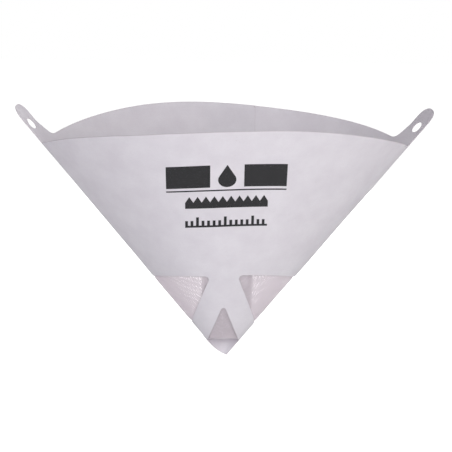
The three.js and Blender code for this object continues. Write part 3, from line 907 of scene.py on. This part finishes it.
# Place, width, power and colour of each soft lamp: light from the front, most of it from the right
LAMPS = {
    "key_high": ((0.55, -0.9, 0.75), 0.9, 4.8, "#fffdfb"),
    "key_low": ((0.6, -1.3, 0.1), 0.9, 7.4, "#fffdfc"),
    "front": ((0.0, -1.5, 0.3), 1.2, 3.0, "#fdfdff"),
    "left": ((-1.1, -0.9, 0.1), 1.0, 6.0, "#f8f8ff"),
    "back": ((0.5, 1.2, 0.3), 1.2, 9.0, "#ffffff"),
}


def floor_material():
    """Plain pale floor, white to the camera where it is lit, which keeps the shadow of the cone."""
    material, tree = new_material("pale_floor")
    diffuse = add_node(tree, "ShaderNodeBsdfDiffuse", {"Color": linear("#f4f4f4")})
    seen = add_node(tree, "ShaderNodeLightPath").outputs["Is Camera Ray"]
    place = add_node(tree, "ShaderNodeTexCoord").outputs["Object"]
    away = add_node(tree, "ShaderNodeVectorMath", {0: place}, operation="LENGTH").outputs["Value"]
    needed = add_node(tree, "ShaderNodeMapRange", {
        "Value": away, "From Min": GLOW_REACH[0], "From Max": GLOW_REACH[1],
        "To Min": GLOW_STRENGTH[0], "To Max": GLOW_STRENGTH[1],
    })
    lift = add_node(tree, "ShaderNodeMath", {0: seen, 1: needed}, operation="MULTIPLY")
    white = add_node(tree, "ShaderNodeEmission", {"Color": (1, 1, 1, 1), "Strength": lift})
    both = add_node(tree, "ShaderNodeAddShader", {0: diffuse, 1: white})
    add_node(tree, "ShaderNodeOutputMaterial", {"Surface": both})
    return material


def make_floor():
    mesh = bpy.data.meshes.new("floor")
    level = cad_low[2] - FLOOR_DROP
    corners = [(x * FLOOR_REACH, y * FLOOR_REACH, level) for x, y in ((-1, -1), (1, -1), (1, 1), (-1, 1))]
    mesh.from_pydata(corners, [], [(0, 1, 2, 3)])
    mesh.materials.append(floor_material())
    floor = bpy.data.objects.new("floor", mesh)
    bpy.context.scene.collection.objects.link(floor)


def make_world():
    """White to the camera, and an even soft light on the object."""
    world = bpy.data.worlds.new("soft_white")
    world.use_nodes = True
    tree = world.node_tree
    tree.nodes.clear()
    rays = add_node(tree, "ShaderNodeLightPath").outputs
    seen = rays["Is Camera Ray"]
    for name in ("Is Glossy Ray", "Is Transmission Ray"):
        seen = add_node(tree, "ShaderNodeMath", {0: seen, 1: rays[name]}, operation="MAXIMUM")
    power = add_node(tree, "ShaderNodeMapRange", {"Value": seen, "To Min": SKY_STRENGTH, "To Max": 1.0})
    sky = add_node(tree, "ShaderNodeBackground", {"Color": (1, 1, 1, 1), "Strength": power})
    add_node(tree, "ShaderNodeOutputWorld", {"Surface": sky})
    bpy.context.scene.world = world


def make_lamp(name, place, size, power, colour):
    light = bpy.data.lights.new(name, "AREA")
    light.size = size
    light.energy = power
    light.color = linear(colour)[:3]
    lamp = bpy.data.objects.new(name, light)
    lamp.location = place
    lamp.rotation_euler = (Vector(LAMP_AIM) - Vector(place)).to_track_quat("-Z", "Y").to_euler()
    bpy.context.scene.collection.objects.link(lamp)


# Camera: the view leans down a little on the cone from slightly left of its front

CAMERA_DISTANCE = 0.9
CAMERA_TURN = 4.0
CAMERA_DOWN = 9.71
CAMERA_ROLL = 0.96
CAMERA_AIM = 67.5               # millimetres above the apex
FIELD_OF_VIEW = 15.16           # degrees, across the square picture
CAMERA_SHIFT = (0.0029, 0.0177)
NEAREST_SEEN = 0.01


def make_camera():
    down, aside = math.radians(CAMERA_DOWN), math.radians(CAMERA_TURN)
    way = Vector((math.sin(aside) * math.cos(down), math.cos(aside) * math.cos(down), -math.sin(down)))
    aim = Vector(APEX * MM) + Vector((0, 0, CAMERA_AIM * MM))
    camera = bpy.data.cameras.new("camera")
    camera.angle = math.radians(FIELD_OF_VIEW)
    camera.shift_x, camera.shift_y = CAMERA_SHIFT
    camera.clip_start = NEAREST_SEEN
    obj = bpy.data.objects.new("camera", camera)
    obj.location = aim - way * CAMERA_DISTANCE
    turned = way.to_track_quat("-Z", "Y") @ Quaternion((0, 0, 1), math.radians(CAMERA_ROLL))
    obj.rotation_euler = turned.to_euler()
    bpy.context.scene.collection.objects.link(obj)
    bpy.context.scene.camera = obj


SHEET = sheet_group()
WEAVE = weave_group()
CARD = card_material()
NYLON = nylon_material()
INK = ink_material()

make_gauze(make_card())
make_print()
make_floor()
make_world()
for name, lamp in LAMPS.items():
    make_lamp(name, *lamp)
make_camera()
bpy.context.scene.view_settings.view_transform = "Standard"
